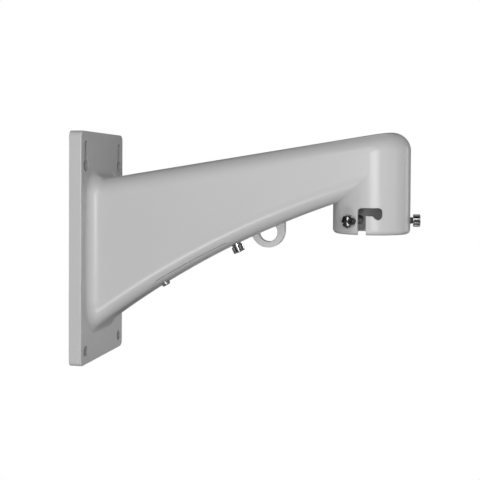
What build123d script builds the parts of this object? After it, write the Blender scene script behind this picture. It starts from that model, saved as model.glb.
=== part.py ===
from build123d import *
import os
from math import cos, dist, hypot, radians, sin, sqrt, tan

# Camera wall bracket, in millimetres.
# A hollow cast arm rises from a wall plate and ends in an upright cup, open below,
# which takes the neck of a camera.
# The origin is the middle of the plate's back face, +X points away from the wall
# along the arm, and +Z is up.

# Wall plate
plate_height = 200.0
plate_width = 100.0
plate_thickness = 11.0
plate_corner_radius = 5.0
plate_edge_radius = 1.0

# Fixings: round holes at the foot of the plate and hanging keyholes at its head
fixing_side_inset = 10.5
fixing_end_inset = 11.6
wall_hole_radius = 4.5
keyhole_slot_width = 6.6
keyhole_head_radius = 5.3
keyhole_head_drop = 17.8

# Cup
cup_reach = 249.5
cup_outer_radius = 32.0
cup_mouth_height = 15.1
cup_mouth_edge_radius = 3.5
cup_mouth_inner_chamfer = 0.8
cup_mouth_chamfer_angle = 45.0

# Arm: heights are above the origin, at the plate's front face and at the cup's wall
arm_top_at_plate = 58.1
arm_top_slope = 9.16
arm_underside_at_plate = -72.0
arm_underside_at_cup = 39.2
arm_underside_rise = 9.05
arm_top_edge_radius = 15.2
arm_bottom_edge_radius = 15.0
arm_root_radius = 9.0
wall_thickness = 5.0

# Bayonet slots in the cup wall, each an inverted J
bayonet_count = 3
bayonet_first_angle = -90.0
bayonet_width = 6.6
bayonet_entry_offset = -5.7
bayonet_travel = 12.8
bayonet_top_height = 22.1
bayonet_hook_drop = 2.7
bayonet_hook_radius = 3.6
bayonet_corner_radius = 3.2
bayonet_shoulder_radius = 1.6

# Thumb screws, with a coarse fluted head and a driver slot
thumb_shank_radius = 3.0
thumb_head_radius = 5.3
thumb_head_length = 6.3
thumb_head_chamfer = 0.6
thumb_flute_count = 8
thumb_flute_radius = 0.95
thumb_flute_depth = 0.75
thumb_slot_width = 1.3
thumb_slot_depth = 1.8
thumb_tip_chamfer = 0.6
thread_clearance = 0.05

# Clamp screws round the cup
# Each one stands off by its own gap and is turned by its own angle
clamp_height = 11.2
clamp_shank_length = 15.5
clamp_first_angle = 3.0
clamp_names = ("cup_thumb_screw_front", "cup_thumb_screw_right", "cup_thumb_screw_left")
clamp_head_gaps = (2.1, 1.9, 0.4)
clamp_turns = (45.0, -35.0, 24.0)

# Access cover let into the arm's underside, over a hand hole
cover_start = 63.5
cover_length = 76.0
cover_thickness = 3.4
cover_corner_radius = 12.0
cover_side_margin = 0.1
cover_end_gap = 0.3
gasket_thickness = 0.3
gasket_inset = 1.3
cover_screw_inset = 6.0
seat_floor_thickness = 4.0
seat_overhang = 5.0
hand_hole_margin = 16.0
hand_hole_width = 34.0
hand_hole_corner_radius = 8.0
screw_hole_clearance = 0.3
cover_thumb_head_gap = 1.8
cover_thumb_shank_length = 16.4
cover_thumb_turn = 22.5
cover_thumb_boss_radius = 6.5
cover_thumb_boss_height = 12.0

# Small slotted pan-head screw at the cover's end nearer the wall
small_shank_radius = 2.0
small_head_radius = 3.7
small_head_gap = 0.02
small_head_height = 2.9
small_head_dome = 1.0
small_shank_length = 11.0
small_slot_width = 1.1
small_slot_depth = 1.2
small_boss_radius = 4.8
small_boss_height = 10.0

# Safety cord eye under the arm
eye_reach = 162.2
eye_thickness = 8.5
eye_outer_radius = 14.4
eye_hole_radius = 8.2
eye_centre_drop = 1.5
eye_hole_drop = 1.1
eye_root_radius = 1.8
eye_edge_radius = 0.7

# Working allowances, which leave no mark on the finished pieces
mouth_overshoot = 5.0
cut_overshoot = 1.0
coincidence = 0.01

# The underside is one arc, given by its two ends and its rise over the chord
underside_start = Vector(plate_thickness, 0, arm_underside_at_plate)
underside_end = Vector(cup_reach - cup_outer_radius, 0, arm_underside_at_cup)
underside_run = underside_end.X - underside_start.X
underside_climb = underside_end.Z - underside_start.Z
underside_chord = hypot(underside_run, underside_climb)
underside_radius = underside_chord**2 / (8 * arm_underside_rise) + arm_underside_rise / 2
centre_distance = underside_radius - arm_underside_rise
centre_x = (underside_start.X + underside_end.X) / 2
centre_x = centre_x + centre_distance * underside_climb / underside_chord
centre_z = (underside_start.Z + underside_end.Z) / 2
centre_z = centre_z - centre_distance * underside_run / underside_chord


def underside_point(x, depth=0.0):
    """Point (x, z) of the underside arc, moved into the arm by depth."""
    radius = underside_radius + depth
    return (x, centre_z + sqrt(radius**2 - (x - centre_x) ** 2))


def underside_plane(x):
    """Plane on the underside at x, its normal pointing out of the arm."""
    px, pz = underside_point(x)
    outward = Vector(centre_x - px, 0, centre_z - pz).normalized()
    return Plane(origin=(px, 0, pz), x_dir=(-outward.Z, 0, outward.X), z_dir=outward)


def on_underside(edge):
    """Whether an edge lies on the underside's arc, at its ends and its middle."""
    points = [edge.position_at(share) for share in (0, 0.5, 1)]
    reaches = [hypot(point.X - centre_x, point.Z - centre_z) for point in points]
    return all(abs(reach - underside_radius) < coincidence for reach in reaches)


def cup_plane(angle, height):
    """Plane on the cup wall at an angle round its axis, with its normal pointing out."""
    outward = Vector(cos(radians(angle)), sin(radians(angle)), 0)
    origin = Vector(cup_reach, 0, cup_mouth_height + height) + outward * cup_outer_radius
    return Plane(origin=origin, x_dir=(-outward.Y, outward.X, 0), z_dir=outward)


def arm_form(inset, start_x, mouth_z):
    """Arm and cup as one solid form, drawn in from the outside by inset."""
    half_width = cup_outer_radius - inset
    slope = tan(radians(arm_top_slope))
    top_shift = inset / cos(radians(arm_top_slope))
    start_top = arm_top_at_plate + (start_x - plate_thickness) * slope - top_shift
    axis_top = arm_top_at_plate + (cup_reach - plate_thickness) * slope - top_shift
    overshoot = 2 * cup_outer_radius
    top_plane = Plane(
        origin=(cup_reach, 0, axis_top),
        x_dir=(cos(radians(arm_top_slope)), 0, sin(radians(arm_top_slope))),
        z_dir=(-sin(radians(arm_top_slope)), 0, cos(radians(arm_top_slope))),
    )
    with BuildPart() as form:
        with BuildSketch(Plane.XZ):
            with BuildLine():
                ThreePointArc(
                    underside_point(start_x, inset),
                    underside_point((start_x + cup_reach) / 2, inset),
                    underside_point(cup_reach, inset),
                )
                Polyline(
                    underside_point(cup_reach, inset),
                    (cup_reach, axis_top),
                    (start_x, start_top),
                    underside_point(start_x, inset),
                )
            make_face()
        extrude(amount=half_width, both=True)
        lower_edges = form.edges().filter_by(GeomType.CIRCLE)
        fillet(lower_edges, radius=arm_bottom_edge_radius - inset)
        with BuildSketch(Plane.XY.offset(mouth_z)):
            with Locations((cup_reach, 0)):
                Circle(half_width)
        extrude(amount=axis_top + overshoot - mouth_z)
        split(bisect_by=top_plane, keep=Keep.BOTTOM)
        top_face = form.faces().sort_by(Axis.Z)[-1]
        top_edges = top_face.edges().sort_by(Axis.X)[1:]
        fillet(top_edges, radius=arm_top_edge_radius - inset)
    return form.part


def underside_strip(start, end, low, high):
    """Full-width strip that follows the underside, between two depths into the arm."""
    with BuildPart() as strip:
        with BuildSketch(Plane.XZ):
            with BuildLine():
                ThreePointArc(
                    underside_point(start, low),
                    underside_point((start + end) / 2, low),
                    underside_point(end, low),
                )
                Line(underside_point(end, low), underside_point(end, high))
                ThreePointArc(
                    underside_point(end, high),
                    underside_point((start + end) / 2, high),
                    underside_point(start, high),
                )
                Line(underside_point(start, high), underside_point(start, low))
            make_face()
        extrude(amount=cup_outer_radius + cut_overshoot, both=True)
    return strip.part


def cover_form(inset, low, high):
    """Curved panel with rounded corners, drawn in from the cover's outline, between two depths."""
    length = cover_chord - 2 * inset
    width = cover_width - 2 * inset
    with BuildPart() as panel:
        with BuildSketch(hand_hole_plane.offset(cover_sag + cut_overshoot)):
            RectangleRounded(length, width, cover_corner_radius - inset)
        extrude(amount=-(seat_top + 2 * (cover_sag + cut_overshoot)))
        add(
            underside_strip(cover_start - seat_overhang, cover_end + seat_overhang, low, high),
            mode=Mode.INTERSECT,
        )
    return panel.part


def thumb_screw(seat, head_gap, shank_length, turn):
    """Thumb screw on the seat plane's normal, turned about it; its head stands off the seat."""
    head_base = seat.offset(head_gap).moved(Rotation(0, 0, turn))
    head_top = head_base.offset(thumb_head_length)
    flute_centre = thumb_head_radius + thumb_flute_radius - thumb_flute_depth
    with BuildPart() as screw:
        with BuildSketch(head_base):
            Circle(thumb_head_radius)
        extrude(amount=thumb_head_length)
        chamfer(screw.edges().filter_by(GeomType.CIRCLE), length=thumb_head_chamfer)
        with BuildSketch(head_base):
            with PolarLocations(flute_centre, thumb_flute_count):
                Circle(thumb_flute_radius)
        extrude(amount=thumb_head_length, mode=Mode.SUBTRACT)
        with BuildSketch(head_top):
            Rectangle(2 * (thumb_head_radius + cut_overshoot), thumb_slot_width)
        extrude(amount=-thumb_slot_depth, mode=Mode.SUBTRACT)
        with BuildSketch(head_base):
            Circle(thumb_shank_radius)
        extrude(amount=-shank_length)
        tip_face = screw.faces().sort_by(Axis(seat.origin, seat.z_dir))[0]
        chamfer(tip_face.edges(), length=thumb_tip_chamfer)
    return screw.part


# Places worked out from the sizes above
cover_end = cover_start + cover_length
cover_depth = cover_thickness + gasket_thickness
cover_chord = dist(underside_point(cover_start), underside_point(cover_end))
cover_sag = cover_chord**2 / (8 * underside_radius)
seam_radius = arm_bottom_edge_radius
seam_spread = sqrt(seam_radius**2 - (seam_radius - cover_depth) ** 2)
cover_width = 2 * (cup_outer_radius - seam_radius + seam_spread + cover_side_margin)
hand_hole_plane = underside_plane((cover_start + cover_end) / 2)
small_screw_seat = underside_plane(cover_start + cover_screw_inset)
small_head_base = small_screw_seat.offset(small_head_gap)
cover_thumb_seat = underside_plane(cover_end - cover_screw_inset)
eye_centre_height = underside_point(eye_reach)[1] - eye_centre_drop
hand_hole_length = cover_length - 2 * hand_hole_margin
hand_hole_sag = hand_hole_length**2 / (8 * underside_radius)
seat_top = cover_depth + seat_floor_thickness
fixing_spacing_across = plate_width - 2 * fixing_side_inset
fixing_spacing_up = plate_height - 2 * fixing_end_inset
slot_seat_height = fixing_spacing_up / 2
keyhole_head_height = slot_seat_height - keyhole_head_drop
bayonet_hook_height = bayonet_top_height - bayonet_width / 2 - bayonet_hook_drop
bayonet_shoulder_height = bayonet_top_height - bayonet_width
bayonet_angles = [bayonet_first_angle + 360 * i / bayonet_count for i in range(bayonet_count)]
clamp_count = len(clamp_names)
clamp_angles = [clamp_first_angle + 360 * i / clamp_count for i in range(clamp_count)]
clamp_planes = [cup_plane(angle, clamp_height) for angle in clamp_angles]

os.makedirs("parts", exist_ok=True)

# Form of the cover's clearance holes, one for each of its two screws
with BuildPart() as cover_screw_holes:
    for seat, shank_radius in (
        (cover_thumb_seat, thumb_shank_radius),
        (small_screw_seat, small_shank_radius),
    ):
        with BuildSketch(seat.offset(cut_overshoot)):
            Circle(shank_radius + screw_hole_clearance)
        extrude(amount=-(cover_depth + 2 * cut_overshoot))

# Form of the hand hole under the cover
with BuildPart() as hand_hole:
    with BuildSketch(hand_hole_plane):
        RectangleRounded(hand_hole_length, hand_hole_width, hand_hole_corner_radius)
    extrude(amount=-(seat_top + cut_overshoot + hand_hole_sag))

# Form of the floor behind the cover, kept within the arm's walls
with BuildPart() as cover_floor:
    add(arm_form(wall_thickness / 2, plate_thickness, cup_mouth_height))
    add(
        underside_strip(
            cover_start - seat_overhang, cover_end + seat_overhang, cover_depth, seat_top
        ),
        mode=Mode.INTERSECT,
    )

# Form of the safety cord eye, a ring whose top is set halfway into the arm's wall
with BuildPart() as cord_eye:
    with BuildSketch(Plane.XZ):
        with Locations((eye_reach, eye_centre_height)):
            Circle(eye_outer_radius)
            Rectangle(
                2 * eye_outer_radius,
                eye_outer_radius,
                align=(Align.CENTER, Align.MIN),
            )
        with Locations((eye_reach, eye_centre_height - eye_hole_drop)):
            Circle(eye_hole_radius, mode=Mode.SUBTRACT)
    extrude(amount=eye_thickness / 2, both=True)
    fillet(cord_eye.faces().filter_by(Plane.XZ).edges(), radius=eye_edge_radius)
    add(arm_form(wall_thickness / 2, plate_thickness, cup_mouth_height), mode=Mode.SUBTRACT)

# Bracket casting: plate, arm, cup and eye in one piece
with BuildPart() as bracket_casting:
    with BuildSketch(Plane.YZ):
        RectangleRounded(plate_width, plate_height, plate_corner_radius)
    extrude(amount=plate_thickness)
    front_face = bracket_casting.faces().sort_by(Axis.X)[-1]
    fillet(front_face.edges(), radius=plate_edge_radius)
    add(arm_form(0.0, plate_thickness / 2, cup_mouth_height))

    # Hollow root fillet where the arm leaves the plate
    front_edges = bracket_casting.edges().filter_by_position(
        Axis.X, plate_thickness - coincidence, plate_thickness + coincidence
    )
    root_edges = front_edges.filter_by(
        lambda edge: abs(edge.center().Y) < cup_outer_radius + coincidence
        and abs(edge.center().Z) < plate_height / 2 - plate_corner_radius
    )
    fillet(root_edges, radius=arm_root_radius)

    # Rounded rim of the cup's mouth
    mouth_edges = bracket_casting.edges().filter_by_position(
        Axis.Z, cup_mouth_height - coincidence, cup_mouth_height + coincidence
    )
    fillet(mouth_edges, radius=cup_mouth_edge_radius)

    # Hollow through plate, arm and cup
    add(
        arm_form(wall_thickness, -cut_overshoot, cup_mouth_height - cut_overshoot),
        mode=Mode.SUBTRACT,
    )

    # Inner edge of the cup's mouth
    with BuildSketch(Plane.XY.offset(cup_mouth_height)):
        with Locations((cup_reach, 0)):
            Circle(cup_outer_radius - wall_thickness + cup_mouth_inner_chamfer)
    extrude(
        amount=cup_mouth_inner_chamfer + cut_overshoot,
        taper=cup_mouth_chamfer_angle,
        mode=Mode.SUBTRACT,
    )

    # Eye, joined to the underside by a small fillet
    add(cord_eye.part)
    eye_edges = bracket_casting.edges().filter_by(
        lambda edge: abs(edge.center().X - eye_reach) < eye_outer_radius + coincidence
        and abs(edge.center().Y) < eye_thickness / 2 + coincidence
    )
    fillet(eye_edges.filter_by(on_underside), radius=eye_root_radius)

    # Floor behind the access cover, with a boss for each of its screws
    add(cover_floor.part)
    for seat, radius, height in (
        (cover_thumb_seat, cover_thumb_boss_radius, cover_thumb_boss_height),
        (small_screw_seat, small_boss_radius, small_boss_height),
    ):
        with BuildSketch(seat.offset(-cover_depth)):
            Circle(radius)
        extrude(amount=-height)

    # Recess for the cover and its gasket
    add(cover_form(-cover_end_gap, -cut_overshoot, cover_depth), mode=Mode.SUBTRACT)

    # Hand hole and the screws' tapped holes
    add(hand_hole.part, mode=Mode.SUBTRACT)
    for seat, radius, height in (
        (cover_thumb_seat, thumb_shank_radius, cover_thumb_boss_height),
        (small_screw_seat, small_shank_radius, small_boss_height),
    ):
        with BuildSketch(seat):
            Circle(radius + thread_clearance)
        extrude(amount=-(cover_depth + height + cut_overshoot), mode=Mode.SUBTRACT)

    # Wall fixings
    with BuildSketch(Plane.YZ.offset(-cut_overshoot)):
        with Locations(
            (-fixing_spacing_across / 2, -fixing_spacing_up / 2),
            (fixing_spacing_across / 2, -fixing_spacing_up / 2),
        ):
            Circle(wall_hole_radius)
        for side in (-1, 1):
            with Locations((side * fixing_spacing_across / 2, slot_seat_height)):
                Circle(keyhole_slot_width / 2)
                Rectangle(
                    keyhole_slot_width,
                    keyhole_head_drop,
                    align=(Align.CENTER, Align.MAX),
                )
            with Locations((side * fixing_spacing_across / 2, keyhole_head_height)):
                Circle(keyhole_head_radius)
    extrude(amount=plate_thickness + 2 * cut_overshoot, mode=Mode.SUBTRACT)

    # Bayonet slots: up from the mouth, along, and down into a hook
    for angle in bayonet_angles:
        with BuildSketch(cup_plane(angle, 0.0).offset(cut_overshoot)) as slot:
            with Locations((bayonet_entry_offset, bayonet_top_height)):
                Rectangle(
                    bayonet_width,
                    bayonet_top_height + mouth_overshoot,
                    align=(Align.CENTER, Align.MAX),
                )
                Rectangle(
                    bayonet_travel,
                    bayonet_width,
                    align=(Align.MIN, Align.MAX),
                )
            with Locations((bayonet_entry_offset + bayonet_travel, bayonet_hook_height)):
                Circle(bayonet_hook_radius)
                Rectangle(
                    2 * bayonet_hook_radius,
                    bayonet_top_height - bayonet_hook_height,
                    align=(Align.CENTER, Align.MIN),
                )
            top_corners = slot.vertices().group_by(Axis.Y)[-1]
            fillet(top_corners, radius=bayonet_corner_radius)
            shoulders = slot.vertices().filter_by_position(
                Axis.Y,
                bayonet_shoulder_height - coincidence,
                bayonet_shoulder_height + coincidence,
            )
            fillet(shoulders.sort_by(Axis.X)[-1], radius=bayonet_shoulder_radius)
        extrude(amount=-(cut_overshoot + cup_outer_radius), mode=Mode.SUBTRACT)

    # Tapped holes for the clamp screws
    with BuildSketch(*clamp_planes):
        Circle(thumb_shank_radius + thread_clearance)
    extrude(amount=-cup_outer_radius, mode=Mode.SUBTRACT)

bracket_casting.part.label = "bracket_casting"
export_step(bracket_casting.part, "parts/bracket_casting.step")

# Access cover, cut from the arm's own outside form so that the two run flush
with BuildPart() as access_cover:
    add(arm_form(0.0, plate_thickness / 2, cup_mouth_height))
    add(cover_form(0.0, -cut_overshoot, cover_thickness), mode=Mode.INTERSECT)
    add(cover_screw_holes.part, mode=Mode.SUBTRACT)

access_cover.part.label = "access_cover"
export_step(access_cover.part, "parts/access_cover.step")

# Flat gasket between the cover and its floor
with BuildPart() as access_cover_gasket:
    add(arm_form(gasket_inset, plate_thickness / 2, cup_mouth_height))
    add(cover_form(gasket_inset, cover_thickness, cover_depth), mode=Mode.INTERSECT)
    add(hand_hole.part, mode=Mode.SUBTRACT)
    add(cover_screw_holes.part, mode=Mode.SUBTRACT)

access_cover_gasket.part.label = "access_cover_gasket"
export_step(access_cover_gasket.part, "parts/access_cover_gasket.step")

# Small pan-head screw that holds the cover's end nearer the wall
with BuildPart() as access_cover_screw:
    with BuildSketch(small_head_base):
        Circle(small_head_radius)
    extrude(amount=small_head_height)
    head_rim = access_cover_screw.edges().filter_by(GeomType.CIRCLE)
    head_rim = head_rim.sort_by(Axis(small_head_base.origin, small_head_base.z_dir))[-1]
    fillet(head_rim, radius=small_head_dome)
    with BuildSketch(small_head_base.offset(small_head_height)):
        Rectangle(2 * (small_head_radius + cut_overshoot), small_slot_width)
    extrude(amount=-small_slot_depth, mode=Mode.SUBTRACT)
    with BuildSketch(small_head_base):
        Circle(small_shank_radius)
    extrude(amount=-small_shank_length)

access_cover_screw.part.label = "access_cover_screw"
export_step(access_cover_screw.part, "parts/access_cover_screw.step")

# Thumb screw at the cover's outer end
with BuildPart() as access_cover_thumb_screw:
    add(
        thumb_screw(
            cover_thumb_seat,
            cover_thumb_head_gap,
            cover_thumb_shank_length,
            cover_thumb_turn,
        )
    )

access_cover_thumb_screw.part.label = "access_cover_thumb_screw"
export_step(access_cover_thumb_screw.part, "parts/access_cover_thumb_screw.step")

# Clamp screws round the cup, which close on the camera's neck
for name, plane, gap, turn in zip(clamp_names, clamp_planes, clamp_head_gaps, clamp_turns):
    with BuildPart() as clamp_screw:
        add(thumb_screw(plane, gap, clamp_shank_length, turn))
    clamp_screw.part.label = name
    export_step(clamp_screw.part, f"parts/{name}.step")
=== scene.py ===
# %% [markdown]
# # A cast wall bracket for a dome camera
# The bracket is one painted casting: a plate, a hollow arm and an upright cup. A cover is let into
# the arm's underside, and plated thumb screws clamp the camera's neck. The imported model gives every
# piece its true shape and place. This lesson dresses it: camera, floor, lamps, finishes, and screws
# with real threads.

# %% Load the frame
from math import cos, pi, radians, sin

import bpy
import numpy as np
from mathutils import Matrix, Vector


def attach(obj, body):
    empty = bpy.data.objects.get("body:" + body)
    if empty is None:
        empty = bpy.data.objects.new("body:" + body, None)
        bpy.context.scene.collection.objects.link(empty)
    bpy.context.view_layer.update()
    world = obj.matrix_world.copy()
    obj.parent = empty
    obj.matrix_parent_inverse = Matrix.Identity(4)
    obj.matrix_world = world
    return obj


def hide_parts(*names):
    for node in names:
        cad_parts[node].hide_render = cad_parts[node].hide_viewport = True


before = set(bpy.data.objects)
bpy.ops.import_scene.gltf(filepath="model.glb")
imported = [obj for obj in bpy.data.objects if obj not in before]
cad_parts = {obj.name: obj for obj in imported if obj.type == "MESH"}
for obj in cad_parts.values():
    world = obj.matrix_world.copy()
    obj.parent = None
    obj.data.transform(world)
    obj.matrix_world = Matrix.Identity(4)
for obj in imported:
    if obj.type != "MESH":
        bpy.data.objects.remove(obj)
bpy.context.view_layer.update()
print("pieces:", ", ".join(sorted(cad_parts)))

# %% [markdown]
# ## The camera
# The photograph shows the bracket from its side, almost level. The camera stands a little beyond the
# cup and looks back towards the wall. Its place, its three turns, in radians, and its lens were fitted
# to the plate's corners, the cup's edges and the arm's outline. The lens's axis passes above the
# picture's middle. Tilting the camera down would make upright edges lean, so most of that comes from a
# small vertical shift.

# %% Place the camera
picture_size_px = 480
sensor_width_mm = 36.0
focal_length_px = 863.99
axis_above_middle_px = 45
nearest_seen = 0.01
camera_place = Vector((0.297817, -0.730025, 0.061848))
camera_yaw = 0.2173
camera_pitch_down = 0.0213
camera_roll = 0.0062

camera_data = bpy.data.cameras.new("camera")
camera_data.sensor_width = sensor_width_mm
camera_data.lens = focal_length_px * sensor_width_mm / picture_size_px
camera_data.shift_y = -axis_above_middle_px / picture_size_px
camera_data.clip_start = nearest_seen
camera = bpy.data.objects.new("camera", camera_data)
bpy.context.scene.collection.objects.link(camera)
bpy.context.scene.camera = camera

forward = Vector((
    -sin(camera_yaw) * cos(camera_pitch_down),
    cos(camera_yaw) * cos(camera_pitch_down),
    -sin(camera_pitch_down),
))
level_right = Vector((cos(camera_yaw), sin(camera_yaw), 0))
level_up = level_right.cross(forward)
right = level_right * cos(camera_roll) + level_up * sin(camera_roll)
up = level_up * cos(camera_roll) - level_right * sin(camera_roll)
camera_axes = Matrix((right, up, -forward)).transposed().to_4x4()
camera.matrix_world = Matrix.Translation(camera_place) @ camera_axes
print("lens", round(camera_data.lens, 2), "mm")

# %% [markdown]
# ## Arithmetic on sockets
# A finish is a small sum: so much noise, so much speckle, limited to a range. Wired by hand, that
# sum is hard to read. Here a `Wire` holds an output socket and its operators add Math nodes, and a
# `Bench` holds a node tree and adds every other kind of node.

# %% Wire and bench
class Wire:
    """An output socket. Sums and products with it add Math nodes to its tree."""

    def __init__(self, bench, socket):
        self.bench = bench
        self.socket = socket

    def maths(self, operation, *terms):
        """Result of a Math node of that operation, with the terms in its sockets in order."""
        outputs = self.bench.add("ShaderNodeMath", {"operation": operation}, dict(enumerate(terms)))
        return outputs["Value"]

    def __add__(self, other):
        return self.maths("ADD", self, other)

    def __radd__(self, other):
        return self.maths("ADD", other, self)

    def __sub__(self, other):
        return self.maths("SUBTRACT", self, other)

    def __rsub__(self, other):
        return self.maths("SUBTRACT", other, self)

    def __mul__(self, other):
        return self.maths("MULTIPLY", self, other)

    def __rmul__(self, other):
        return self.maths("MULTIPLY", other, self)

    def __truediv__(self, other):
        return self.maths("DIVIDE", self, other)

    def __abs__(self):
        return self.maths("ABSOLUTE", self)

    def at_least(self, limit):
        """The larger of the wire and the limit."""
        return self.maths("MAXIMUM", self, limit)

    def at_most(self, limit):
        """The smaller of the wire and the limit."""
        return self.maths("MINIMUM", self, limit)


class Bench:
    """A node tree with one method that adds any node to it."""

    def __init__(self, tree):
        self.tree = tree
        tree.nodes.clear()

    def add(self, kind, settings=None, sockets=None):
        """Adds a node, applies its settings, fills or links its sockets, and returns its outputs."""
        node = self.tree.nodes.new(kind)
        for name, value in (settings or {}).items():
            setattr(node, name, value)
        for key, value in (sockets or {}).items():
            socket = self.socket(node.inputs, key)
            if isinstance(value, Wire):
                self.tree.links.new(value.socket, socket)
            else:
                socket.default_value = value
        return {output.name: Wire(self, output) for output in node.outputs if output.enabled}

    @staticmethod
    def socket(sockets, key):
        """The socket of that number, or the one of that name that the settings switch on."""
        if isinstance(key, int):
            return sockets[key]
        return next(socket for socket in sockets if socket.enabled and socket.name == key)


print("operators ready")

# %% [markdown]
# ## Surroundings
# A catalogue picture stands the thing before plain white paper. The world is white wherever the
# camera looks, and through glass. In mirrors it is white only straight behind the bracket, where the
# paper hangs, and nearly black elsewhere, as a dark studio is, which gives plated metal its dark
# bands. Scattered light on the paint comes from a dim grey room. A world that is white for every ray
# would be simpler, but it would flatten the paint and wash out the metal.

# %% Build the world
white = (1.0, 1.0, 1.0, 1.0)
room_grey = (0.5, 0.5, 0.5, 1.0)
room_strength = 0.2
mirrored_room_strength = 0.03
paper_edge = 0.96
paper_blend = 0.03


def share_between(wire, start, length):
    """0 up to a start, 1 from that length past it, and a straight line between the two."""
    return ((wire - start) / length).at_least(0.0).at_most(1.0)


def white_seen(bench, behind):
    """1 where a ray shows the white paper: from the camera, through glass, and in mirrors behind."""
    path = bench.add("ShaderNodeLightPath")
    seen = path["Is Camera Ray"] + path["Is Transmission Ray"] + path["Is Glossy Ray"] * behind
    return seen.at_most(1.0)


world = bpy.data.worlds.new("studio")
bpy.context.scene.world = world
world.use_nodes = True
sky = Bench(world.node_tree)
direction = sky.add("ShaderNodeTexCoord")["Generated"]
towards_paper = sky.add("ShaderNodeSeparateXYZ", None, {"Vector": direction})["Y"]
room = sky.add("ShaderNodeBackground", None, {"Color": room_grey, "Strength": room_strength})
mirrored_room = sky.add("ShaderNodeBackground", None, {
    "Color": room_grey,
    "Strength": mirrored_room_strength,
})
paper = sky.add("ShaderNodeBackground", None, {"Color": white, "Strength": 1.0})
surroundings = sky.add("ShaderNodeMixShader", None, {
    0: sky.add("ShaderNodeLightPath")["Is Glossy Ray"],
    1: room["Background"],
    2: mirrored_room["Background"],
})
sky_mix = sky.add("ShaderNodeMixShader", None, {
    0: white_seen(sky, share_between(towards_paper, paper_edge, paper_blend)),
    1: surroundings["Shader"],
    2: paper["Background"],
})
sky.add("ShaderNodeOutputWorld", None, {"Surface": sky_mix["Shader"]})
print("room strength", room_strength)

# %% [markdown]
# ## Floor
# The bracket hangs on a wall, so the floor lies well below it. It is matt and pale, which sends some
# light up under the arm. The camera sees it nearly white, and quite white further off, so that no
# horizon shows. Stronger lamps could do that too, but they would burn out the paint, so it comes from
# a glow that lights nothing. In mirrors the floor is white only far behind, where the paper comes down
# to meet it.

# %% Lay the floor
floor_height = -1.3
floor_half_size = 12.0
floor_reflectance = (0.4, 0.4, 0.4, 1.0)
floor_glow = 0.95
floor_fade_start = 0.35
floor_fade_length = 0.5
floor_paper_start = 4.3
floor_paper_length = 1.9


def level_reach(bench, place):
    """How far a place lies from the upright line through the origin."""
    level = bench.add("ShaderNodeVectorMath", {"operation": "MULTIPLY"}, {0: place, 1: (1, 1, 0)})
    return bench.add("ShaderNodeVectorMath", {"operation": "LENGTH"}, {0: level["Vector"]})["Value"]


corners = np.array([(-1, -1), (1, -1), (1, 1), (-1, 1)]) * floor_half_size
floor_points = np.column_stack([corners, np.full(len(corners), floor_height)])
floor_mesh = bpy.data.meshes.new("floor")
floor_mesh.from_pydata(floor_points.tolist(), [], [range(len(corners))])
floor = bpy.data.objects.new("floor", floor_mesh)
bpy.context.scene.collection.objects.link(floor)

floor_material = bpy.data.materials.new("pale floor")
floor_material.use_nodes = True
ground = Bench(floor_material.node_tree)
place = ground.add("ShaderNodeTexCoord")["Object"]
back_reach = ground.add("ShaderNodeSeparateXYZ", None, {"Vector": place})["Y"]
fade = share_between(level_reach(ground, place), floor_fade_start, floor_fade_length)
behind = share_between(back_reach, floor_paper_start, floor_paper_length)
matt = ground.add("ShaderNodeBsdfDiffuse", None, {"Color": floor_reflectance})
glow = ground.add("ShaderNodeEmission", None, {"Color": white, "Strength": 1.0})
glow_share = white_seen(ground, behind) * (floor_glow + (1 - floor_glow) * fade)
surface = ground.add("ShaderNodeMixShader", None, {0: glow_share, 1: matt["BSDF"], 2: glow["Emission"]})
ground.add("ShaderNodeOutputMaterial", None, {"Surface": surface["Shader"]})
floor.data.materials.append(floor_material)
print("floor at", floor_height, "m")

# %% [markdown]
# ## Lamps
# Large area lamps give the soft light of a studio, and small ones give glints. The main lamp, a little
# right of the camera, draws the tall highlight down the cup. Two high ones bring out the arm's rounded
# top, and a low narrow one draws the bright line along its lower edge. The lamps on the right light the
# plate's front and brighten the cup's right edge, and those on the left brighten its left edge. One
# above and behind rims the top. The two smallest are there only to glint in the face of the clamp
# screw nearest the camera.

# %% Hang the lamps
lamp_target = Vector((0.15, 0.0, 0.03))
lamp_distance = 1.6
lamps = {
    "key": {"azimuth": 15.0, "elevation": 4.0, "width": 0.6, "height": 0.6, "power": 12.8},
    "low": {"azimuth": 2.0, "elevation": -44.0, "width": 0.3, "height": 0.12, "power": 5.2},
    "high": {"azimuth": 0.0, "elevation": 30.0, "width": 0.5, "height": 0.5, "power": 4.8},
    "high right": {"azimuth": 45.0, "elevation": 30.0, "width": 0.5, "height": 0.5, "power": 1.4},
    "left": {"azimuth": -15.0, "elevation": 4.0, "width": 0.3, "height": 0.6, "power": 0.9},
    "left upper": {"azimuth": -52.0, "elevation": 8.0, "width": 0.15, "height": 0.15, "power": 0.25},
    "left lower": {"azimuth": -52.0, "elevation": -14.0, "width": 0.15, "height": 0.15, "power": 0.25},
    "left side": {"azimuth": -90.0, "elevation": 4.0, "width": 0.5, "height": 0.6, "power": 5.2},
    "right": {"azimuth": 50.0, "elevation": 4.0, "width": 0.4, "height": 0.6, "power": 1.4},
    "right side": {"azimuth": 75.0, "elevation": 4.0, "width": 0.3, "height": 0.6, "power": 1.8},
    "right rim": {"azimuth": 100.0, "elevation": 4.0, "width": 0.4, "height": 0.6, "power": 0.8},
    "right back": {"azimuth": 128.0, "elevation": 4.0, "width": 0.3, "height": 0.6, "power": 1.7},
    "back": {"azimuth": 180.0, "elevation": 50.0, "width": 0.6, "height": 0.6, "power": 1.4},
}


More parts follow.
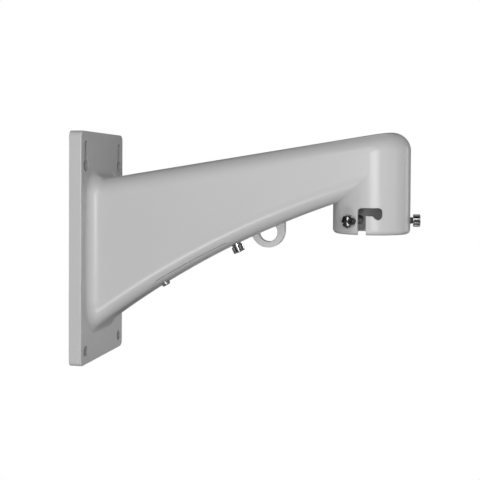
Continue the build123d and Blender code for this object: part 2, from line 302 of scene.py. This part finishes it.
def hang_lamp(name, azimuth, elevation, width, height, power):
    """An area lamp that faces the bracket, from degrees to the right of its side view and degrees up."""
    turn = radians(azimuth)
    rise = radians(elevation)
    away = Vector((sin(turn) * cos(rise), -cos(turn) * cos(rise), sin(rise)))
    lamp_data = bpy.data.lights.new(name, "AREA")
    lamp_data.shape = "RECTANGLE"
    lamp_data.size = width
    lamp_data.size_y = height
    lamp_data.energy = power
    lamp = bpy.data.objects.new(name, lamp_data)
    lamp.location = lamp_target + away * lamp_distance
    lamp.rotation_euler = (-away).to_track_quat("-Z", "Y").to_euler()
    bpy.context.scene.collection.objects.link(lamp)


for lamp_name, setting in lamps.items():
    hang_lamp(lamp_name, **setting)
bpy.context.scene.view_settings.view_transform = "Standard"
print("lamps:", ", ".join(lamps))

# %% [markdown]
# ## Building a finish
# Every finish below is built from the same few steps: noise at the place on the bracket, a blend of
# two colours, a bump and one Principled surface. Each step has a short function. Places are in metres,
# so a noise's scale says how many clouds there are to the metre, and a bump's height is a real one.

# %% Finish helpers
def new_finish(name):
    """An empty material of that name, and the bench to build it on."""
    material = bpy.data.materials.new(name)
    material.use_nodes = True
    return material, Bench(material.node_tree)


def noise(bench, place, scale, detail):
    """Grey clouds, that many to the metre, with that many layers of finer ones."""
    settings = {"noise_dimensions": "3D"}
    sockets = {"Vector": place, "Scale": scale, "Detail": detail}
    outputs = bench.add("ShaderNodeTexNoise", settings, sockets)
    return next(iter(outputs.values()))


def blend(bench, share, base, other):
    """The base colour where the share is 0, the other where it is 1, and a mix between."""
    sockets = {"Factor": share, "A": base, "B": other}
    return bench.add("ShaderNodeMix", {"data_type": "RGBA"}, sockets)["Result"]


def bumped(bench, height):
    """The surface's normal, tilted by a height in metres."""
    return bench.add("ShaderNodeBump", None, {"Height": height, "Distance": 1.0})["Normal"]


def coat_with(bench, sockets):
    """A Principled surface with those sockets, joined to the material's output."""
    skin = bench.add("ShaderNodeBsdfPrincipled", None, sockets)
    bench.add("ShaderNodeOutputMaterial", None, {"Surface": skin["BSDF"]})


def give_finish(material, *nodes):
    """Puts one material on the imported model's pieces of those names, over their whole surface."""
    for node in nodes:
        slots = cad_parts[node].data.materials
        slots.clear()
        slots.append(material)
    print(material.name, "on", ", ".join(nodes))


print("finish helpers ready")

# %% [markdown]
# ## Powder coat
# The casting and its cover are powder coated in a light satin grey. Powder melts into a skin with a
# very fine ripple, like orange peel, over sand-cast metal that is not quite flat. Both are far finer
# than the shape, so they are bumps rather than geometry, worked out from the place on the bracket.
# The ripple also breaks up the gloss a little, and the tone drifts by a percent or two. The walls of
# the cup's bore and of the holes through the plate are painted a darker, duller grey, as painted shade
# deep in those recesses. A mask, also worked out from the place, swaps the paint for it there.

# %% Mix the powder coat
paint_light = (0.515, 0.515, 0.515, 1.0)
paint_dark = (0.490, 0.490, 0.490, 1.0)
# painted shade: the darker grey on the walls of the cup's bore and of the plate's holes
recess_shade_grey = (0.31, 0.31, 0.31, 1.0)
drifts_per_metre = 22.0
waves_per_metre = 70.0
ripples_per_metre = 900.0
grains_per_metre = 3200.0
wave_height = 0.00002
ripple_height = 0.000008
grain_height = 0.000003
paint_roughness = 0.26
ripple_roughness = 0.10
recess_shade_roughness = 0.35
paint_specular = 0.4
cup_axis_reach = 0.2495
cup_bore_radius = 0.027
bore_top = 0.045
plate_thickness = 0.011
holes_half_width = 0.046
holes_half_height = 0.096
mask_edge = 0.0001


def below(wire, limit):
    """1 below a limit and 0 above it, with a soft edge."""
    return 1.0 - share_between(wire, limit + mask_edge, mask_edge)


powder_coat, bench = new_finish("powder coat")
place = bench.add("ShaderNodeTexCoord")["Object"]
drift = noise(bench, place, drifts_per_metre, detail=3.0)
waviness = noise(bench, place, waves_per_metre, detail=1.0)
ripple = noise(bench, place, ripples_per_metre, detail=2.0)
grain = noise(bench, place, grains_per_metre, detail=1.0)

from_axis = bench.add("ShaderNodeVectorMath", {"operation": "SUBTRACT"}, {
    0: place,
    1: (cup_axis_reach, 0.0, 0.0),
})
ways = bench.add("ShaderNodeSeparateXYZ", None, {"Vector": place})
in_bore = below(level_reach(bench, from_axis["Vector"]), cup_bore_radius) * below(ways["Z"], bore_top)
inside_outline = below(abs(ways["Y"]), holes_half_width) * below(abs(ways["Z"]), holes_half_height)
past_back = share_between(ways["X"], mask_edge, mask_edge)
before_front = below(ways["X"], plate_thickness - 2 * mask_edge)
# painted shade: 1 on the walls of the cup's bore and of the plate's holes, 0 elsewhere
recess_shade = in_bore + inside_outline * (past_back * before_front)

paint = blend(bench, drift, paint_light, paint_dark)
coat_with(bench, {
    "Base Color": blend(bench, recess_shade, paint, recess_shade_grey),
    "Roughness": paint_roughness + ripple * ripple_roughness + recess_shade * recess_shade_roughness,
    "Specular IOR Level": paint_specular,
    "Normal": bumped(bench, waviness * wave_height + ripple * ripple_height + grain * grain_height),
})
give_finish(powder_coat, "bracket_casting", "access_cover")

# %% [markdown]
# ## Gasket rubber
# A thin rubber gasket lies under the cover. Only its edge shows, as a faint line along the seam, so it
# needs no more than a matt dark grey with a fine speckle in its roughness.

# %% Make the rubber
rubber_grey = (0.15, 0.15, 0.15, 1.0)
speckles_per_metre = 1500.0
speckle_height = 0.00002
rubber_roughness = 0.7
speckle_roughness = 0.2

rubber, bench = new_finish("gasket rubber")
place = bench.add("ShaderNodeTexCoord")["Object"]
speckle = noise(bench, place, speckles_per_metre, detail=2.0)
coat_with(bench, {
    "Base Color": rubber_grey,
    "Roughness": rubber_roughness + speckle * speckle_roughness,
    "Normal": bumped(bench, speckle * speckle_height),
})
give_finish(rubber, "access_cover_gasket")

# %% [markdown]
# ## Nickel plate
# The screws are turned from steel and plated with nickel. The thumb screws' meshes, made further on,
# carry two numbers at every point. Turning changes steadily down the side and across the ends, as the
# tool travels, and noise read from it alone makes the fine rings that the tool left. A picture of
# turned metal could be wrapped round instead, but it would show a seam. Groove says how deep the point
# lies in a flute or a thread, and there the plate is painted nearly black, as painted shade in those
# hollows; stains add a little real grime. The small screw comes straight from the imported model and
# has neither number, so it is given an even dullness instead.

# %% Make the plate
nickel_colour = (0.50, 0.495, 0.485, 1.0)
# painted shade in grooves, and real grime from stains: the near-black the plate turns to
grime_and_shade_colour = (0.03, 0.03, 0.03, 1.0)
rings_per_metre = 5200.0
ring_height = 0.000004
stains_per_metre = 650.0
stain_share = 0.3
grime_and_shade_start = 0.15
grime_and_shade_length = 0.5
grime_and_shade_over_metal = 0.8
nickel_roughness = 0.06
ring_roughness = 0.05
stain_roughness = 0.05
grime_and_shade_roughness = 0.4
small_screw_dullness = 0.36


def plated(name, dullness):
    """Nickel plate, bright where nothing dulls it, painted dark as shade in grooves, plus an even
    dullness.
    """
    material, bench = new_finish(name)
    place = bench.add("ShaderNodeTexCoord")["Object"]
    turning = bench.add("ShaderNodeAttribute", {"attribute_name": "turning"})["Fac"]
    groove = bench.add("ShaderNodeAttribute", {"attribute_name": "groove"})["Fac"]
    rings = bench.add("ShaderNodeTexNoise", {"noise_dimensions": "1D"}, {
        "W": turning * rings_per_metre,
        "Scale": 1.0,
        "Detail": 2.0,
    })
    ring = next(iter(rings.values()))
    stain = noise(bench, place, stains_per_metre, detail=3.0)
    # painted shade: deep in a groove the plate turns nearly black; stains and dullness add real grime
    soiling_and_shade = groove + dullness + (stain - 0.5) * stain_share
    grime_and_shade = share_between(soiling_and_shade, grime_and_shade_start, grime_and_shade_length)
    wear = ring * ring_roughness + stain * stain_roughness + grime_and_shade * grime_and_shade_roughness
    coat_with(bench, {
        "Base Color": blend(bench, grime_and_shade, nickel_colour, grime_and_shade_colour),
        "Metallic": 1.0 - grime_and_shade * grime_and_shade_over_metal,
        "Roughness": nickel_roughness + wear,
        "Normal": bumped(bench, ring * ring_height),
    })
    return material


nickel = plated("nickel plate", 0.0)
dull_nickel = plated("dull nickel plate", small_screw_dullness)
give_finish(dull_nickel, "access_cover_screw")

# %% [markdown]
# ## Outline of a thumb screw's head
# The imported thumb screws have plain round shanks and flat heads. On the real ones a coarse thread
# shows between the head and the wall, so each screw is made again here, within its packed form. The
# head is a cylinder with eight round flutes for the fingers. Boolean modifiers could cut them, but an
# outline whose radius is worked out for each angle gives cleaner faces, and how far that radius falls
# short of the rim is also how deep the groove is there. These sizes are in millimetres.

# %% Draw the outline
screw_unit = 0.001
head_radius = 5.3
flute_count = 8
flute_radius = 0.95
flute_depth = 0.75


def fluted_outline(angle, rim):
    """Points of the head's outline: at the rim's radius, or nearer where a flute bites in.

    A line from the axis at an angle a from a circle's centre, which is d away, enters the circle of
    radius f at d cos a less the square root of f squared less (d sin a) squared."""
    spacing = 2 * pi / flute_count
    offset = (angle + spacing / 2) % spacing - spacing / 2
    centre = head_radius + flute_radius - flute_depth
    under_root = flute_radius**2 - (centre * np.sin(offset)) ** 2
    bite = centre * np.cos(offset) - np.sqrt(np.maximum(under_root, 0.0))
    radius = np.where(under_root > 0, np.minimum(rim, bite), rim)
    return np.stack([radius * np.cos(angle), radius * np.sin(angle)], axis=-1)


def groove_share(outlines, rims):
    """How far each point lies in from its rim, as a share of the flutes' depth."""
    return (rims[:, None] - np.hypot(outlines[..., 0], outlines[..., 1])) / flute_depth


def stacked_shell(outlines, heights, grooves):
    """Closed shell: outlines, one above another, joined by quads, with a fan closing each end.

    Returns the points, how deep in a groove each one lies, from 0 to 1, and the faces."""
    rings, count, _ = outlines.shape
    levels = np.broadcast_to(np.asarray(heights)[:, None, None], (rings, count, 1))
    wall = np.concatenate([outlines, levels], axis=2)
    ends = wall[[0, -1]].mean(axis=1)
    points = np.concatenate([wall.reshape(-1, 3), ends])
    shares = np.clip(grooves, 0, 1)
    shares = np.concatenate([shares.ravel(), shares[[0, -1]].mean(axis=1)])
    index = np.arange(rings * count).reshape(rings, count)
    onward = np.roll(index, -1, axis=1)
    quads = np.stack([index[:-1], onward[:-1], onward[1:], index[1:]], axis=-1).reshape(-1, 4)
    foot = np.stack([onward[0], index[0], np.full(count, rings * count)], axis=-1)
    crown = np.stack([index[-1], onward[-1], np.full(count, rings * count + 1)], axis=-1)
    return points, shares, quads.tolist() + foot.tolist() + crown.tolist()


print("flutes", flute_count)

# %% [markdown]
# ## Thumb screw heads
# A driver's slot splits the top of the head in two, so the head is three closed shells: the whole
# outline up to the slot's floor, and a half on each side of the slot. The middle of its face is
# slightly domed, a small part of a large sphere, so that a lamp shows in it as a small glint and not as
# a white disc.

# %% Shape the head
head_length = 6.3
head_chamfer = 0.6
slot_width = 1.3
slot_depth = 1.8
dome_sphere_radius = 15.0
dome_rim = 3.0
dome_steps = 5
crown_drop = 0.35
shell_overlap = 0.2
outline_points = 320

slot_floor = head_length - slot_depth
crown_foot = head_length - crown_drop
dome_rims = np.linspace(dome_rim, 0, dome_steps, endpoint=False)
dome_heights = head_length - dome_rims**2 / (2 * dome_sphere_radius)
lower_rims = np.array([head_radius - head_chamfer, head_radius, head_radius])
lower_heights = [0.0, head_chamfer, slot_floor]
upper_rims = np.array([head_radius, head_radius, head_radius - head_chamfer, *dome_rims])
upper_heights = [slot_floor - shell_overlap, crown_foot - head_chamfer, crown_foot, *dome_heights]
full_turn = np.linspace(0, 2 * pi, outline_points, endpoint=False)
half_turn = np.linspace(0, pi, outline_points // 2 + 1)

lower_outline = fluted_outline(full_turn[None, :], lower_rims[:, None])
half_outline = fluted_outline(half_turn[None, :], upper_rims[:, None])
half_grooves = groove_share(half_outline, upper_rims)
half_outline[..., 1] = np.maximum(half_outline[..., 1], slot_width / 2)
head_shells = [
    stacked_shell(lower_outline, lower_heights, groove_share(lower_outline, lower_rims)),
    stacked_shell(half_outline, upper_heights, half_grooves),
    stacked_shell(-half_outline, upper_heights, half_grooves),
]
print("head of", sum(len(points) for points, _, _ in head_shells), "points")

# %% [markdown]
# ## Threaded shanks
# An M6 thread climbs one millimetre a turn, with sloping flanks and narrow flats at its crests and
# roots. A Screw modifier could wind such a profile round, but its ends would be ragged. Here the shank
# is a grid of angles by depths, and its radius is read from where the point stands in the thread's
# turn, so the thread can fade out just under the head and end in a chamfer at the tip. All of the
# thread is painted darker, as painted shade, and its roots darkest of all.

# %% Shape the shank
crest_radius = 3.0
thread_pitch = 1.0
thread_depth = 0.55
crest_share = 0.14
root_share = 0.20
run_out = 0.9
tip_chamfer = 0.6
# painted shade added over the whole thread, on top of its roots' depth
thread_shade = 0.5
shank_angles = 72
steps_per_pitch = 12


def thread_radius(angle, depth, length):
    """Radius of the thread at an angle and a depth under the head.

    The turn's fraction is the depth over the pitch plus the angle over a full turn. Twice its
    distance from a half runs from nought at a crest to one at a root, and sets the flank's depth."""
    turn = (depth / thread_pitch + angle / (2 * pi)) % 1.0
    flank = np.abs(2 * turn - 1)
    share = np.clip((flank - crest_share) / (1 - crest_share - root_share), 0, 1)
    fade = np.clip(depth / run_out, 0, 1)
    threaded = crest_radius - thread_depth * (share * fade + (1 - fade))
    tip = crest_radius - tip_chamfer + (length - depth)
    return np.minimum(threaded, tip)


def shank_shell(length):
    """Closed threaded shank from just inside the head down to its tip, as one stacked shell."""
    steps = int(round(length / thread_pitch * steps_per_pitch))
    depths = np.concatenate([[-shell_overlap], np.linspace(0, length, steps + 1)])[::-1]
    angles = np.linspace(0, 2 * pi, shank_angles, endpoint=False)
    radius = thread_radius(angles[None, :], np.maximum(depths, 0)[:, None], length)
    outlines = np.stack([radius * np.cos(angles), radius * np.sin(angles)], axis=-1)
    # painted shade: the whole thread darker, and its roots darkest
    grooves = thread_shade + (crest_radius - radius) / thread_depth
    return stacked_shell(outlines, -depths, grooves)


print("pitch", thread_pitch, "mm")

# %% [markdown]
# ## Collar under the cover's thumb screw
# The screw on the cover is tight, and no thread shows under its head. A plain turned collar fills
# that gap and bears on the cover. It is three circles stacked as the head is, with a small chamfer.

# %% Shape the collar
collar_radius = 4.1
collar_chamfer = 0.25
collar_clearance = 0.04


def collar_shell(gap):
    """Closed round collar that reaches from just inside the head almost to the seat below it."""
    radii = np.array([collar_radius - collar_chamfer, collar_radius, collar_radius])
    angles = np.linspace(0, 2 * pi, shank_angles, endpoint=False)
    outlines = radii[:, None, None] * np.stack([np.cos(angles), np.sin(angles)], axis=-1)
    foot = collar_clearance - gap
    heights = [foot, foot + collar_chamfer, shell_overlap]
    return stacked_shell(outlines, heights, np.zeros(outlines.shape[:2]))


print("collar", collar_radius, "mm in radius")

# %% [markdown]
# ## One screw from its shells
# A screw's own axes are its seat's outward normal and two directions across it, turned by the
# screw's own angle. Its shells are laid along those axes with their place in the mesh, so the object
# itself stays at the origin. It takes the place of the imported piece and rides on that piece's body.

# %% Build a screw
sharp_angle = 11.0


def make_thumb_screw(node, seat, across, gap, turn, lower_shells):
    """Builds one thumb screw on its seat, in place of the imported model's piece of that name."""
    place, outward = seat
    side = across.cross(outward)
    axis_x = side * cos(radians(turn)) + across * sin(radians(turn))
    axes = np.array([axis_x, outward.cross(axis_x), outward])
    points = []
    grooves = []
    faces = []
    for shell_points, shell_grooves, shell_faces in head_shells + lower_shells:
        start = sum(len(block) for block in points)
        points.append(shell_points)
        grooves.append(shell_grooves)
        faces += [[start + corner for corner in face] for face in shell_faces]
    local = np.concatenate(points) + (0, 0, gap)
    turning = (np.hypot(local[:, 0], local[:, 1]) - local[:, 2]) * screw_unit
    world_points = local * screw_unit @ axes + np.array(place)
    mesh = bpy.data.meshes.new(node + "_turned")
    mesh.from_pydata(world_points.tolist(), [], faces)
    mesh.attributes.new("turning", "FLOAT", "POINT").data.foreach_set("value", turning)
    mesh.attributes.new("groove", "FLOAT", "POINT").data.foreach_set("value", np.concatenate(grooves))
    mesh.polygons.foreach_set("use_smooth", np.ones(len(faces), dtype=bool))
    mesh.set_sharp_from_angle(angle=radians(sharp_angle))
    mesh.materials.append(nickel)
    screw = bpy.data.objects.new(node + "_turned", mesh)
    bpy.context.scene.collection.objects.link(screw)
    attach(screw, node + "_body")
    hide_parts(node)
    print(screw.name, len(faces), "faces")


print("edges over", sharp_angle, "degrees stay sharp")

# %% [markdown]
# ## Screws in place
# Three screws point at the cup's axis, a third of a turn apart, and one stands on the cover. Each has
# its own turn, in degrees, and its own gap under the head, in millimetres, as hand-tightened screws
# do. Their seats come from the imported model's sizes.

# %% Place the screws
cup_radius = 0.032
clamp_height = 0.0263
clamp_first_angle = 3.0
clamp_shank = 15.5
clamp_screws = {
    "cup_thumb_screw_front": {"gap": 2.1, "turn": 45.0},
    "cup_thumb_screw_right": {"gap": 1.9, "turn": -35.0},
    "cup_thumb_screw_left": {"gap": 0.4, "turn": 24.0},
}
cover_shank = 16.4
cover_gap = 1.8
cover_turn = 22.5
cover_seat = Vector((0.1335, 0.0, 0.00372331))
cover_normal = Vector((0.443325, 0.0, -0.896361))
vertical = Vector((0.0, 0.0, 1.0))
crosswise = Vector((0.0, -1.0, 0.0))


def cup_seat(order):
    """Place and outward normal of a clamp screw's seat on the cup, counted round from the front."""
    angle = radians(clamp_first_angle + 360 / len(clamp_screws) * order)
    outward = Vector((cos(angle), sin(angle), 0.0))
    return Vector((cup_axis_reach, 0.0, clamp_height)) + outward * cup_radius, outward


clamp_shells = [shank_shell(clamp_shank)]
for order, (node, setting) in enumerate(clamp_screws.items()):
    make_thumb_screw(node, cup_seat(order), vertical, lower_shells=clamp_shells, **setting)
make_thumb_screw(
    "access_cover_thumb_screw",
    (cover_seat, cover_normal),
    crosswise,
    cover_gap,
    cover_turn,
    [shank_shell(cover_shank), collar_shell(cover_gap)],
)
